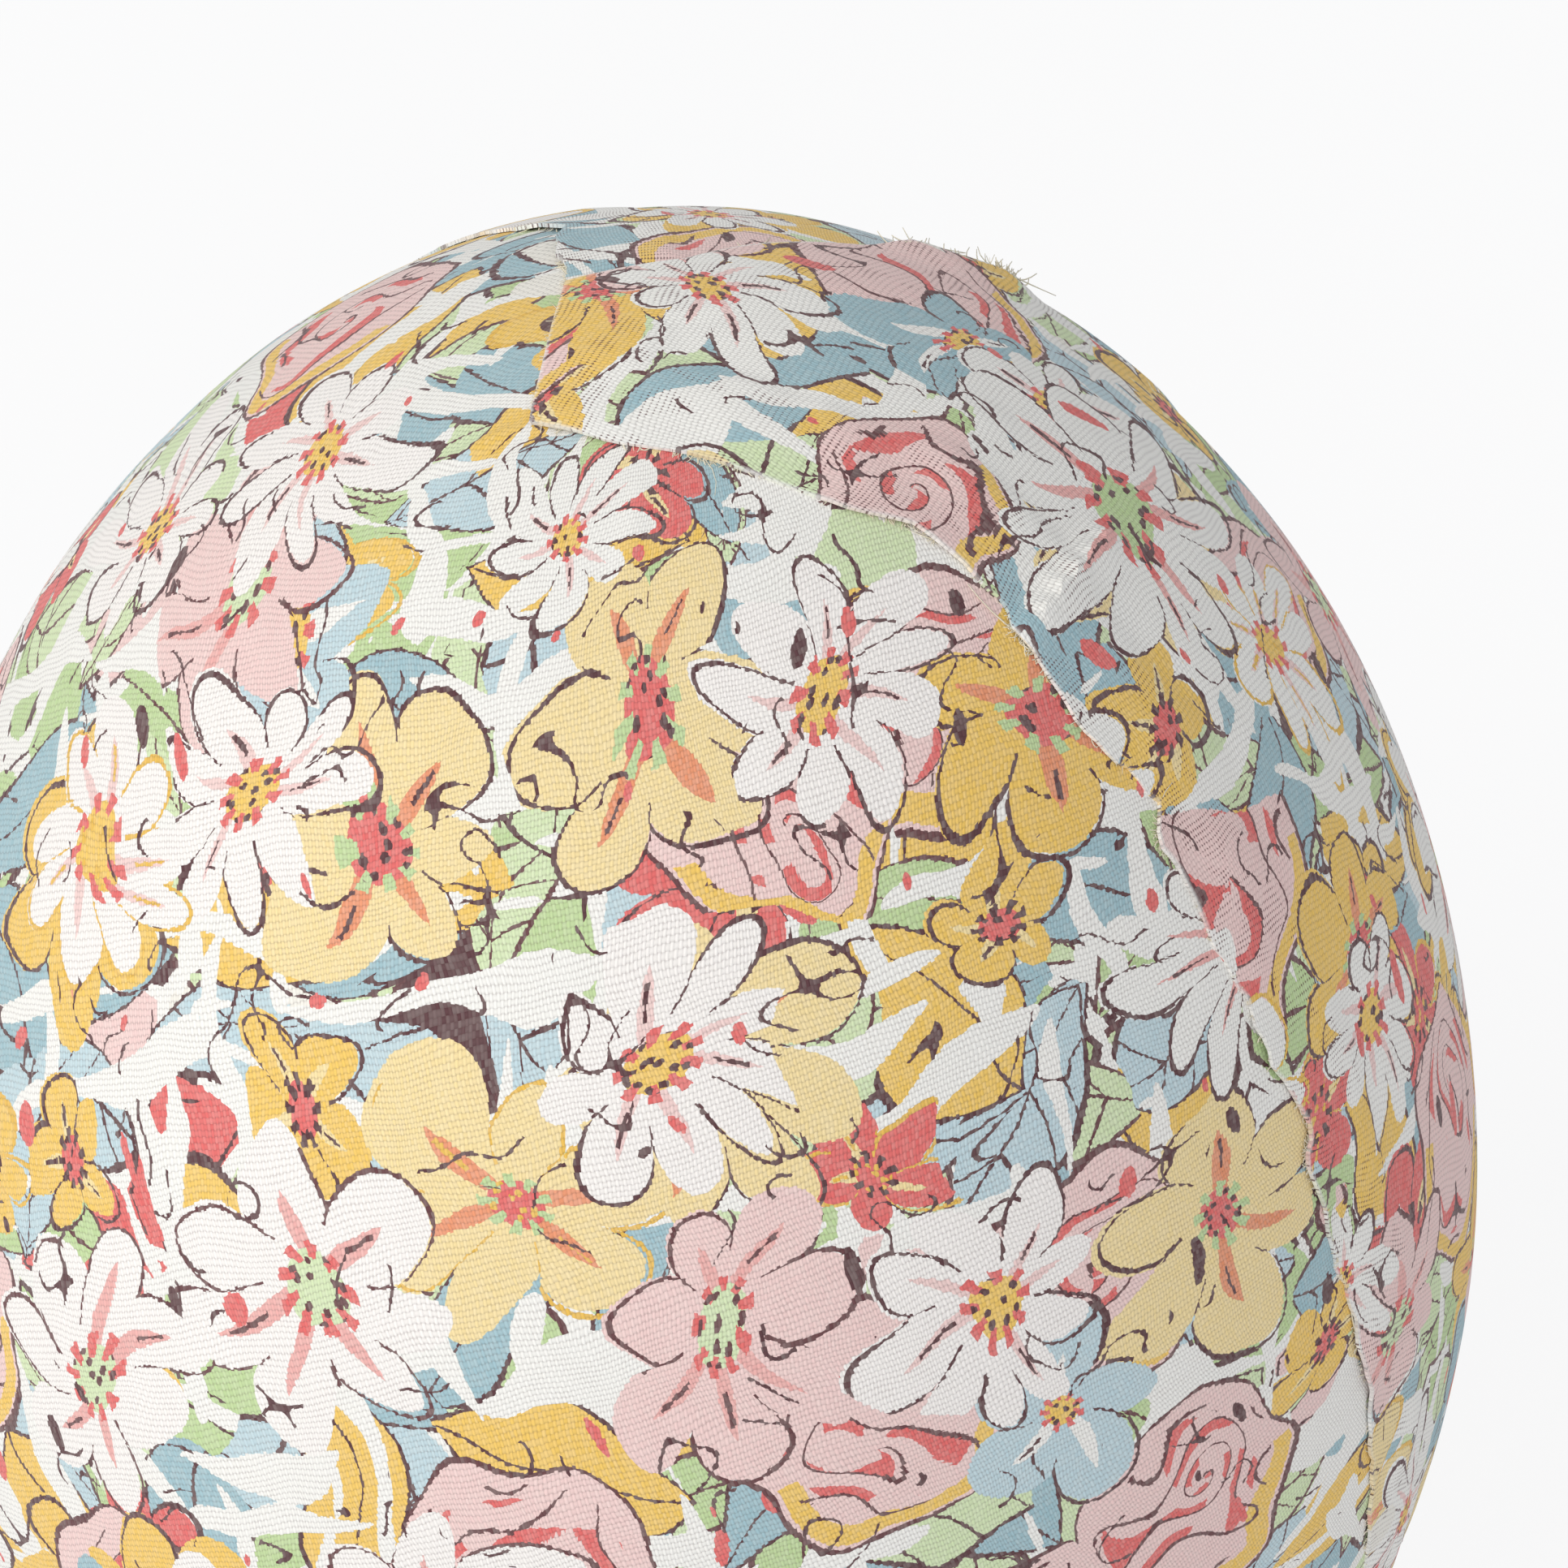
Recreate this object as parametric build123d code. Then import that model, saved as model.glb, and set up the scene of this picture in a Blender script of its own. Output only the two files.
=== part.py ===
from build123d import *

import os

# A pin cushion in the shape of an egg that stands on a flat foot, narrow end up.
# A solid foam core takes the pins. Three pieces of cotton lawn are glued round it, each with
# a lap over the one before it. A card disc and a felt disc close the foot.
# Millimetres, +Z up, origin at the middle of the felt's underside, -Y the front, +X the right.

# The egg, measured over one layer of cloth
widest_diameter = 87.0
crown_height = 61.0  # from the widest ring up to the top
belly_depth = 52.0  # from the widest ring down to where the blunt end would close
foot_diameter = 40.0  # of the flat that cuts off the blunt end, before its edge is rounded
foot_edge_radius = 2.5  # of the foam, so that the cloth turns under it without a crease

# The cloth and how it is glued
cloth_thickness = 0.2
glue_gap = 0.05  # between any two glued faces
lap_width = 6.0  # how far one piece covers the next
step_width = 0.5  # where a piece climbs from the foam on to the piece that it covers
edge_clearance = 0.3  # between a covered edge and the step beside it
turned_under = 6.0  # how far the cloth runs inwards under the foot

# The edges that show, in degrees round the egg from the front (-Y) towards the right (+X)
right_front_seam = 57.0  # of the right piece, over the front piece
right_back_seam = 140.0  # of the right piece, over the back piece
back_left_seam = 212.0  # of the back piece, over the front piece
seams_meet = (2.5, 3.0)  # from above: where the front and back pieces meet, under the right one

# The end of the right piece, which runs on over the crown, from above
tip_front_reach = 13.0  # from the pole out to where its front edge bends over the crown
tip_back_reach = 20.0  # the same for its back edge
tip_front_corner = (-8.0, -3.0)
tip_back_corner = (-6.5, 9.0)
tip_corner_radius = 2.0

# The discs that close the foot
card_thickness = 1.0
felt_thickness = 1.2
card_inset = 1.5  # the card stays this far inside the edge of the foot
felt_inset = 0.4  # the felt stays this far inside the card

# Worked out from the sizes above
layer = cloth_thickness + glue_gap
core_radius = widest_diameter / 2 - layer
core_crown = crown_height - layer
core_belly = belly_depth - layer
foot_radius = foot_diameter / 2 - layer
foot_depth = core_belly * (1 - (foot_radius / core_radius) ** 2) ** 0.5
card_bottom = felt_thickness + glue_gap
core_bottom = card_bottom + card_thickness + glue_gap + 2 * layer
widest_height = core_bottom + foot_depth
card_radius = foot_radius - card_inset
inner_edge = lap_width + step_width
middle_of_right = (right_front_seam + right_back_seam) / 2
beyond = widest_diameter + crown_height + belly_depth  # clear of the egg on every side


def standing_disc(radius, bottom, height):
    upright = (Align.CENTER, Align.CENTER, Align.MIN)
    return Pos(0, 0, bottom) * Cylinder(radius, height, align=upright)


def quarter_ellipse(radius, rise):
    """From the widest ring to the egg's axis, up by the rise, or down by a negative one."""
    corner = (radius, widest_height + rise)
    quarter_weight = 0.5**0.5  # makes a weighted curve of three points an exact quarter ellipse
    points = [(radius, widest_height), corner, (0, widest_height + rise)]
    return Bezier(*points, weights=[1, quarter_weight, 1])


def egg(growth):
    """The foam egg, grown outwards all over by this much."""
    crown = quarter_ellipse(core_radius + growth, core_crown + growth)
    belly = quarter_ellipse(core_radius + growth, -core_belly - growth)
    axis = Line(crown @ 1, belly @ 1)
    whole = revolve(Plane.XZ * make_face([crown, axis, belly]), Axis.Z)
    below_foot = standing_disc(beyond, core_bottom - growth - beyond, beyond)
    cut = whole - below_foot
    foot_edge = cut.edges().group_by(Axis.Z)[0]
    return fillet(foot_edge, foot_edge_radius + growth)


def skin(inner, outer):
    """A layer round the egg, from one growth to another, open in the middle of the foot."""
    opening = standing_disc(foot_radius - turned_under, 0, widest_height)
    return egg(outer) - egg(inner) - opening


def prism(outline):
    """All that lies above an outline drawn from above."""
    return extrude(outline, beyond)


def round_egg(angle, reach, start=(0, 0)):
    """The point that far out from the start, at an angle round the egg, seen from above."""
    out = Vector(0, -reach).rotate(Axis.Z, angle)
    return (start[0] + out.X, start[1] + out.Y)


def between(first, last):
    """The outline of all that lies from one angle round to another, out from where seams meet."""
    count = 4
    turn = (last - first) / count
    rim = [round_egg(first + turn * i, beyond, seams_meet) for i in range(count + 1)]
    return make_face(Polyline(seams_meet, *rim, close=True))


def along_seam(angle, start, stop):
    """The outline of a strip beside a seam, between two distances back from its visible edge."""
    strip = Pos(-(start + stop) / 2, -beyond / 2) * Rectangle(stop - start, beyond)
    return Pos(*seams_meet) * Rot(0, 0, angle) * strip


def right_outline(inwards):
    """The outline of the right piece with its tip over the crown, this far in from its edge."""
    corners = [
        round_egg(right_front_seam, tip_front_reach),
        round_egg(right_front_seam, beyond),
        round_egg(middle_of_right, beyond),
        round_egg(right_back_seam, beyond),
        round_egg(right_back_seam, tip_back_reach),
        tip_back_corner,
        tip_front_corner,
    ]
    outline = make_face(Polyline(*corners, close=True))
    tip = outline.vertices().sort_by(Axis.X)[:2]
    rounded = fillet(tip, tip_corner_radius)
    return offset(rounded, -inwards, kind=Kind.INTERSECTION) if inwards else rounded


first_layer = skin(glue_gap, layer)
second_layer = skin(layer + glue_gap, 2 * layer)
both_layers = skin(glue_gap, 2 * layer)
under_right_piece = prism(right_outline(lap_width - edge_clearance))
clear_of_right_piece = prism(right_outline(-edge_clearance))


def right_cloth_panel():
    """Lies on the foam, and climbs on to its neighbours all along its edge."""
    on_foam = first_layer & prism(right_outline(inner_edge))
    step = both_layers & prism(right_outline(lap_width) - right_outline(inner_edge))
    lap = second_layer & prism(right_outline(0) - right_outline(lap_width))
    return on_foam + step + lap


def back_cloth_panel():
    """Lies on the foam, climbs on to the front piece, and runs under the right piece."""
    flat = between(middle_of_right, back_left_seam) - along_seam(back_left_seam, 0, inner_edge)
    on_foam = (first_layer & prism(flat)) - under_right_piece
    step = both_layers & prism(along_seam(back_left_seam, lap_width, inner_edge))
    lap = second_layer & prism(along_seam(back_left_seam, 0, lap_width))
    return on_foam + (step + lap - clear_of_right_piece)


def front_cloth_panel():
    """Lies on the foam all over, with both its edges under the other pieces."""
    region = between(back_left_seam - 360, middle_of_right)
    covered = along_seam(back_left_seam, 0, lap_width - edge_clearance)
    return (first_layer & prism(region + covered)) - under_right_piece


def save(name, shape):
    solids = shape.solids()
    if len(solids) != 1:
        raise ValueError(f"{name} is {len(solids)} solids, and has to be one")
    export_step(solids[0], os.path.join("parts", name + ".step"))


os.makedirs("parts", exist_ok=True)
save("foam_core", egg(0))
save("front_cloth_panel", front_cloth_panel())
save("right_cloth_panel", right_cloth_panel())
save("back_cloth_panel", back_cloth_panel())
save("base_card", standing_disc(card_radius, card_bottom, card_thickness))
save("base_felt", standing_disc(card_radius - felt_inset, 0, felt_thickness))
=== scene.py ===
import math

import bpy
import numpy as np
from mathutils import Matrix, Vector


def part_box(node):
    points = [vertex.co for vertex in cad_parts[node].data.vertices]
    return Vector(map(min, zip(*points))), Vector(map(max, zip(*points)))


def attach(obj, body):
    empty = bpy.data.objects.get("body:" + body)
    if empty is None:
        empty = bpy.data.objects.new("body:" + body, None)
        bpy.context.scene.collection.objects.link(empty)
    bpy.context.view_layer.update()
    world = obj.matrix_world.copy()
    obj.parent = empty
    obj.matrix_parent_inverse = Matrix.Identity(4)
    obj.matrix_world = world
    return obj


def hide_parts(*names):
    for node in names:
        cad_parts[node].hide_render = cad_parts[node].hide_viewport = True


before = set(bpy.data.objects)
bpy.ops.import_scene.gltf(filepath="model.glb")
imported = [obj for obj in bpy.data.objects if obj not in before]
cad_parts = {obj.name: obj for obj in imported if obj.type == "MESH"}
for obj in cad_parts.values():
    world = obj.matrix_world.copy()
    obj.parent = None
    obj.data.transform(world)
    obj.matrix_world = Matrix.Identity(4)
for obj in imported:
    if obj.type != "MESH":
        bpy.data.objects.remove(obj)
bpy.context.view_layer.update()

# An egg-shaped pin cushion: a moulded foam egg under three glued pieces of printed cotton lawn,
# with a card disc and a felt disc under its foot. Lengths are in millimetres until a mesh is made,
# and in metres for the felt, the lamps and the camera.
# A place on the egg is given as its angle round it in degrees, 0 at the front and 90 at the right,
# and its run, which is how far down the side it is from the pole, over the surface.

MM = 0.001
body = "root"

# ---------------------------------------------------------------- the foam egg, read from the frame

foot_edge = 2.5  # radius of the foot's rounded edge
belly_less = 9.0  # the belly is this much shallower than the crown is high
core_points = np.array([v.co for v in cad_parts["foam_core"].data.vertices]) / MM
core_reach = np.hypot(core_points[:, 0], core_points[:, 1])
core_radius = core_reach.max()
core_bottom = core_points[:, 2].min()
widest_height = core_points[core_reach > core_radius - 0.004, 2].mean()
core_crown = core_points[:, 2].max() - widest_height
core_belly = core_crown - belly_less


def egg_side():
    """The egg's side from the pole down, round the foot's edge and in under it, as reach and height."""
    up = np.linspace(math.pi / 2, 0, 1500)[:-1]
    down = np.linspace(0, -math.pi / 2, 3000)
    crown = np.stack([core_radius * np.cos(up), widest_height + core_crown * np.sin(up)], 1)
    belly = np.stack([core_radius * np.cos(down), widest_height + core_belly * np.sin(down)], 1)
    near, far = 0.0, core_radius
    for _ in range(40):  # halve the span round the edge's centre, which is as near belly as foot
        centre = np.array([(near + far) / 2, core_bottom + foot_edge])
        gaps = np.hypot(*(belly - centre).T)
        share = np.hypot(centre[0] / core_radius, (centre[1] - widest_height) / core_belly)
        if share < 1 and gaps.min() > foot_edge:
            near = centre[0]
        else:
            far = centre[0]
    touch = gaps.argmin()
    lean = math.atan2(belly[touch, 1] - centre[1], belly[touch, 0] - centre[0])
    turn = np.linspace(lean, -math.pi / 2, 60)
    edge = centre + foot_edge * np.stack([np.cos(turn), np.sin(turn)], 1)
    flat = np.stack([np.linspace(centre[0], 1.0, 60)[1:], np.full(59, core_bottom)], 1)
    return np.concatenate([crown, belly[:touch], edge, flat])


side = egg_side()
side_run = np.concatenate([[0], np.cumsum(np.hypot(*np.diff(side, axis=0).T))])
slope = np.gradient(side, side_run, axis=0)
flat_run = side_run[np.argmax(side[:, 1] < core_bottom + 1e-6)]
widest_at = side[:, 0].argmax()


def on_egg(angle, run, height):
    """Points at angles and runs on the egg, standing out from the foam by a height."""
    reach = np.interp(run, side_run, side[:, 0]) - height * np.interp(run, side_run, slope[:, 1])
    rise = np.interp(run, side_run, side[:, 1]) + height * np.interp(run, side_run, slope[:, 0])
    turn = np.radians(angle)
    return np.stack([reach * np.sin(turn), -reach * np.cos(turn), rise], -1)


def reach_at(run):
    return np.maximum(np.interp(run, side_run, side[:, 0]), 1.0)


def smooth(low, high, value):
    share = np.clip((value - low) / (high - low), 0, 1)
    return share * share * (3 - 2 * share)


# ---------------------------------------------------------------- how the cloth is cut and glued

glue = 0.05
cloth = 0.2
layer = glue + cloth
lap_top, lap_foot = 5.2, 6.6  # in from its edge, a lapping piece comes down on to the foam here
covered = 5.6  # how far a piece runs on under the next one
right_length, right_width = 160, 64  # roughly, for how many points the right piece's mesh has
back_top = 8.0  # run of the back piece's top edge, which is under the right piece
wide_run, narrow_run = 60.0, 20.0  # near the widest ring, and near the crown
far_from_edge = 9.0  # nothing about a cut edge shows this far from it
step = 0.85  # between the cloth mesh's points
fine_step = 0.4  # between the points of a cut edge
hem_run = flat_run + 5.6  # the cloth ends this far in under the foot
right_front_seam, right_back_seam, back_left_seam = 57.0, 140.0, 212.0

# Where on the printed cloth two of the pieces were cut, from where the right one was.
back_cut_at, front_cut_at = (210, 40), (-190, -70)

# The top of the right piece's two cut edges, from above: right and back of the pole.
crown_front_edge = [(-7.8, -2.4), (-3.8, -4.2), (0.2, -5), (5, -6.4), (8.2, -7.2), (10.7, -7.1)]
crown_back_edge = [
    (-6.4, 8.9), (-0.4, 10.7), (3, 13), (7, 15), (11, 17.3), (13, 17.4), (16, 19), (18, 21.5),
]

# How far the scissors wandered from a straight seam: run, then degrees.
front_wander = [
    (13, 0), (19.5, 2.5), (21, -1), (28, -1.5), (32.4, 1.6), (33.4, -1.4),
    (48, -1), (53, 0.6), (54, -1), (75, 1), (100, 2), (165, 0),
]
back_wander = [(28, 0), (36, -2), (45, 1.5), (60, -1), (90, 1.5), (130, -1), (165, 0)]
left_wander = [(8, 5), (11, 3.5), (18, -9), (26, -4), (40, 1), (60, -1.5), (95, 1), (165, 0)]


def wandering(points, run):
    """The degrees that a cut edge is off its seam at a run, with the scissors' small waves."""
    downs, degrees = zip(*points)
    fine = 0.16 * np.sin(run * 0.9) + 0.1 * np.sin(run * 2.3 + 1) + 0.07 * np.sin(run * 5.1)
    return np.interp(run, downs, degrees) + np.degrees(fine / reach_at(run))


def from_polar(angle, run):
    """Flat places round the pole, right and back of it, of angles and runs."""
    turn = np.radians(angle)
    return np.stack([run * np.sin(turn), -run * np.cos(turn)], -1)


def to_polar(flat):
    return np.degrees(np.arctan2(flat[..., 0], -flat[..., 1])), np.hypot(flat[..., 0], flat[..., 1])


def from_above(places):
    """Angle and run of places given as millimetres right and back of the pole."""
    x, y = np.array(places, float).T
    run = np.interp(np.hypot(x, y), side[: widest_at + 1, 0], side_run[: widest_at + 1])
    return np.unwrap(np.arctan2(x, -y)) * 180 / math.pi, run


def length_along(line):
    """How far along a line each of its points is."""
    return np.concatenate([[0], np.cumsum(np.linalg.norm(np.diff(line, axis=0), axis=1))])


def crown_line(crown, seam, points, count):
    """A cut edge from the tip to the hem, as flat places round the pole (x right, y back)."""
    angle, run = from_above(crown)
    down = np.arange(run[-1] + fine_step, hem_run + 0.01, fine_step)
    angle = np.concatenate([angle, seam + wandering(points, down)])
    run = np.concatenate([run, down])
    flat = from_polar(angle, run)
    along = length_along(on_egg(angle, run, 0))
    even = np.linspace(0, along[-1], count)
    return np.stack([np.interp(even, along, flat[:, k]) for k in (0, 1)], -1)


def right_grid():
    """The right piece: rows from its tip on the crown down to the hem, front edge to back edge.
    Its rows are straight from above near the tip, and go round the egg further down."""
    rows = int(right_length / step)
    columns = int(right_width / step)
    front = crown_line(crown_front_edge, right_front_seam, front_wander, rows)
    back = crown_line(crown_back_edge, right_back_seam, back_wander, rows)
    across = np.linspace(0, 1, columns)
    straight = front[:, None] * (1 - across[None, :, None]) + back[:, None] * across[None, :, None]
    front_angle, front_run = to_polar(front)
    back_angle, back_run = to_polar(back)
    back_angle = np.where(back_angle < 0, back_angle + 360, back_angle)
    round_angle = front_angle[:, None] * (1 - across) + back_angle[:, None] * across
    round_run = front_run[:, None] * (1 - across) + back_run[:, None] * across
    share = smooth(18, 48, (front_run + back_run) / 2)[:, None, None]
    angle, run = to_polar(straight * (1 - share) + from_polar(round_angle, round_run) * share)
    return angle, run, front, back


def from_edges(flat_lines, points):
    """How far each point of a piece is from its nearest cut edge."""
    edge = np.concatenate([on_egg(*to_polar(flat), layer) for flat in flat_lines])
    nearest = np.concatenate([
        np.sqrt(((chunk[:, None] - edge[None]) ** 2).sum(-1).min(1))
        for chunk in np.array_split(points.reshape(-1, 3), 40)
    ])
    return nearest.reshape(points.shape[:-1])


def belt_grid(start_run, left_angle, right_angle):
    """A piece whose sides run down the egg: rows from its top edge to the hem. The sides are given
    as functions of how far down they are, and so is the top edge, as one of the angle."""
    columns = int(math.radians(right_angle(wide_run) - left_angle(wide_run)) * core_radius / step)
    rows = int((hem_run - back_top) / step)
    across = np.linspace(0, 1, columns)
    middle_left, middle_right = left_angle(narrow_run), right_angle(narrow_run)
    top = start_run(middle_left + (middle_right - middle_left) * across)
    down = np.linspace(0, 1, rows)[:, None]
    run = top[None] * (1 - down) + hem_run * down
    left = left_angle(run)
    right = right_angle(run)
    return left + (right - left) * across, run


# ---------------------------------------------------------------- the cloth's small folds

rng = np.random.default_rng(11)
wave_draws = [(rng.normal(0, 0.22, 3), rng.uniform(0, 6.28)) for _ in range(14)]


def uneven(points):
    """The slight unevenness of cloth pressed down by hand, the same for every piece over a place."""
    return sum(0.014 * np.sin(points @ wave + start) for wave, start in wave_draws)


def puckers(points, distance):
    """Where a piece was eased over the egg's curve, it puckers softly close to its edge."""
    waves = sum(0.06 * np.sin(points @ (wave * 3.1) + start) for wave, start in wave_draws[:6])
    return waves * np.exp(-((distance / 8.0) ** 2))


def gathers(angle, run):
    """Small pleats where the cloth narrows towards the foot. They are pressed flat under it."""
    turn = np.radians(angle)
    pleat = np.sin(turn * 19 + 1.3 * np.sin(turn * 4) + 0.7 * np.sin(turn * 7 + 2))
    pleat = np.maximum(pleat, 0) ** 2 * (0.6 + 0.4 * np.sin(turn * 5 + 1))
    above_foot = smooth(flat_run - 20, flat_run - 6, run)
    above_foot *= 1 - smooth(flat_run - 4, flat_run - 1, run)
    return 0.34 * pleat * above_foot


def crease(flat, start, end, width, height, steep=1.0):
    """A soft ridge between two places from above, one side as many times steeper as asked."""
    a, b = np.array(start, float), np.array(end, float)
    along = (b - a) / np.hypot(*(b - a))
    offset = flat - a
    down = offset @ along / np.hypot(*(b - a))
    aside = offset @ np.array([-along[1], along[0]])
    span = np.where(aside > 0, width / steep, width)
    ends = smooth(-0.15, 0.2, down) * (1 - smooth(0.75, 1.15, down))
    return height * np.exp(-((aside / span) ** 2)) * ends


# ---------------------------------------------------------------- laying a piece out flat

def round_place(points, angle, run):
    """Flat places of points by how far and which way they are from one place on the egg."""
    middle = np.array([0, 0, widest_height])
    squeeze = np.array([1, 1, core_radius / core_crown * 1.06])
    ways = (points - middle) * squeeze
    ways /= np.linalg.norm(ways, axis=-1, keepdims=True)
    pole = (on_egg(np.array(angle), np.array(run), 0) - middle) * squeeze
    pole /= np.linalg.norm(pole)
    east = np.cross([0, 0, 1], pole)
    east /= np.linalg.norm(east)
    north = np.cross(pole, east)
    far = np.arccos(np.clip(ways @ pole, -1, 1))
    flat = np.stack([ways @ east, ways @ north], -1)
    flat /= np.maximum(np.linalg.norm(flat, axis=-1, keepdims=True), 1e-9)
    return flat * far[..., None] * core_radius * 1.1


def laid_flat(points, angle, run, grain):
    """The piece as it was cut: its points moved in the plane until its threads are barely stretched,
    then turned so that the warp runs at the grain's angle."""
    flat = round_place(points, angle, run)
    skip = 6  # every sixth point is moved, and the rest follow smoothly
    spring_passes, spring_pull, smoothing_passes = 500, 0.11, 40
    solid, plane = points[::skip, ::skip], flat[::skip, ::skip].copy()
    first = plane.copy()
    whole, all_but_last, all_but_first = slice(None), slice(None, -1), slice(1, None)
    pairs = [
        ((all_but_last, whole), (all_but_first, whole)),
        ((whole, all_but_last), (whole, all_but_first)),
        ((all_but_last, all_but_last), (all_but_first, all_but_first)),
        ((all_but_first, all_but_last), (all_but_last, all_but_first)),
    ]
    lengths = [np.linalg.norm(solid[a] - solid[b], axis=-1) for a, b in pairs]
    for _ in range(spring_passes):
        for (a, b), length in zip(pairs, lengths):
            gap = plane[a] - plane[b]
            now = np.maximum(np.linalg.norm(gap, axis=-1), 1e-6)
            pull = (spring_pull * (length - now) / now)[..., None] * gap
            plane[a] += pull
            plane[b] -= pull
    moved = plane - first
    rows, columns = points.shape[:2]
    at_row = np.clip(np.arange(rows) / skip, 0, moved.shape[0] - 1.001)
    at_column = np.clip(np.arange(columns) / skip, 0, moved.shape[1] - 1.001)
    r, c = at_row.astype(int), at_column.astype(int)
    row_share, column_share = (at_row - r)[:, None, None], (at_column - c)[None, :, None]
    by_row = moved[r] * (1 - row_share) + moved[r + 1] * row_share
    fine = by_row[:, c] * (1 - column_share) + by_row[:, c + 1] * column_share
    for _ in range(smoothing_passes):
        fine[1:-1] = (fine[:-2] + 2 * fine[1:-1] + fine[2:]) / 4
        fine[:, 1:-1] = (fine[:, :-2] + 2 * fine[:, 1:-1] + fine[:, 2:]) / 4
    flat = flat + fine
    turn = math.radians(grain)
    return flat @ np.array([[math.cos(turn), -math.sin(turn)], [math.sin(turn), math.cos(turn)]])


# ---------------------------------------------------------------- making the pieces

def put_in_scene(name, verts, faces, cuts):
    """An object with this mesh at the origin, active and alone selected. Cuts are each point's
    place on the flat cloth and its distance from a cut edge."""
    mesh = bpy.data.meshes.new(name)
    mesh.from_pydata((np.array(verts) * MM).tolist(), [], faces)
    cut = mesh.attributes.new("cut", "FLOAT_VECTOR", "POINT")
    cut.data.foreach_set("vector", np.array(cuts, np.float32).ravel())
    piece = bpy.data.objects.new(name, mesh)
    bpy.context.scene.collection.objects.link(piece)
    bpy.ops.object.select_all(action="DESELECT")
    bpy.context.view_layer.objects.active = piece
    piece.select_set(True)
    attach(piece, body)
    return piece


def cloth_piece(name, points, flat, edge_distance):
    """A thin closed sheet through a grid of outer points, its flat size and its flat area."""
    rows, columns = points.shape[:2]
    number = np.arange(rows * columns).reshape(rows, columns)
    a, b, c, d = number[:-1, :-1], number[1:, :-1], number[1:, 1:], number[:-1, 1:]
    faces = np.stack([a, b, c, d], -1).reshape(-1, 4)
    first = points.reshape(-1, 3)
    outward = np.cross(first[faces[:, 1]] - first[faces[:, 0]], first[faces[:, 3]] - first[faces[:, 0]])
    middle = first[faces].mean(1) - np.array([0, 0, widest_height])
    if (outward * middle).sum() < 0:
        faces = faces[:, ::-1]
    size = flat.reshape(-1, 2)
    edge = np.minimum(edge_distance, far_from_edge).reshape(-1, 1)
    piece = put_in_scene(name, first, faces.tolist(), np.concatenate([size, edge], 1))
    wall = piece.modifiers.new("cloth", "SOLIDIFY")
    wall.thickness = cloth * MM
    wall.offset = -1
    bpy.ops.object.modifier_apply(modifier="cloth")
    bpy.ops.object.shade_smooth_by_angle(angle=math.radians(50))
    quads = points[:-1, :-1], points[1:, :-1], points[1:, 1:], points[:-1, 1:]
    area = 0.5 * np.linalg.norm(np.cross(quads[2] - quads[0], quads[3] - quads[1]), axis=-1).sum()
    width, length = size.max(0) - size.min(0)
    return piece, (width * MM, length * MM), area * MM * MM


thread_parts, thread_sides = 4, 3
long_share = 0.035  # of the threads: a long one lies along the edge
nick_share = 0.35  # of the threads, at the nicks
frayed_lift = 0.3  # an edge that is lifted more than this has frayed more
threadless_end = 8  # an edge's last stretch, by the foot, has no loose threads


def thread_line(draw, start, way, out, lifted):
    """The points of one loose thread from where it leaves the cut edge, and its thickness."""
    frayed = lifted > frayed_lift
    if draw.random() < long_share:
        reach = draw.uniform(1.6, 4.0)
        lean = draw.choice([-1, 1]) * draw.uniform(1.25, 1.5)
    else:
        reach = draw.uniform(0.2, 0.75) * (1.6 if frayed else 0.9)
        lean = draw.normal(0, 0.45)
    heading = out * math.cos(lean) + way * math.sin(lean)
    bend = draw.normal(0, 0.5)
    rise = max(0.0, draw.normal(0.05, 0.18)) + (draw.uniform(0.1, 0.6) if frayed else 0)
    thick = draw.uniform(0.035, 0.07)
    points = []
    for share in np.arange(thread_parts + 1) / thread_parts:
        swing = complex(*heading) * complex(math.cos(bend * share), math.sin(bend * share))
        spot = start - out * 0.25 + np.array([swing.real, swing.imag]) * reach * share
        drop = max(0.30, 0.42 + lifted - 0.22 * share + rise * share * share)
        points.append(on_egg(*to_polar(spot), drop))
    return np.array(points), thick


def thread_tube(points, thick):
    """The points round a thread, which thins towards its end."""
    ring = []
    for k, point in enumerate(points):
        ahead = points[min(k + 1, thread_parts)] - points[max(k - 1, 0)]
        ahead /= max(np.linalg.norm(ahead), 1e-9)
        one = np.cross(ahead, point - np.array([0, 0, widest_height]))
        one /= max(np.linalg.norm(one), 1e-9)
        two = np.cross(one, ahead)
        width = thick * (1 - 0.55 * k / thread_parts)
        for spin in np.arange(thread_sides) * 2 * math.pi / thread_sides:
            ring.append(point + width * (math.cos(spin) * one + math.sin(spin) * two))
    return ring


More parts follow.
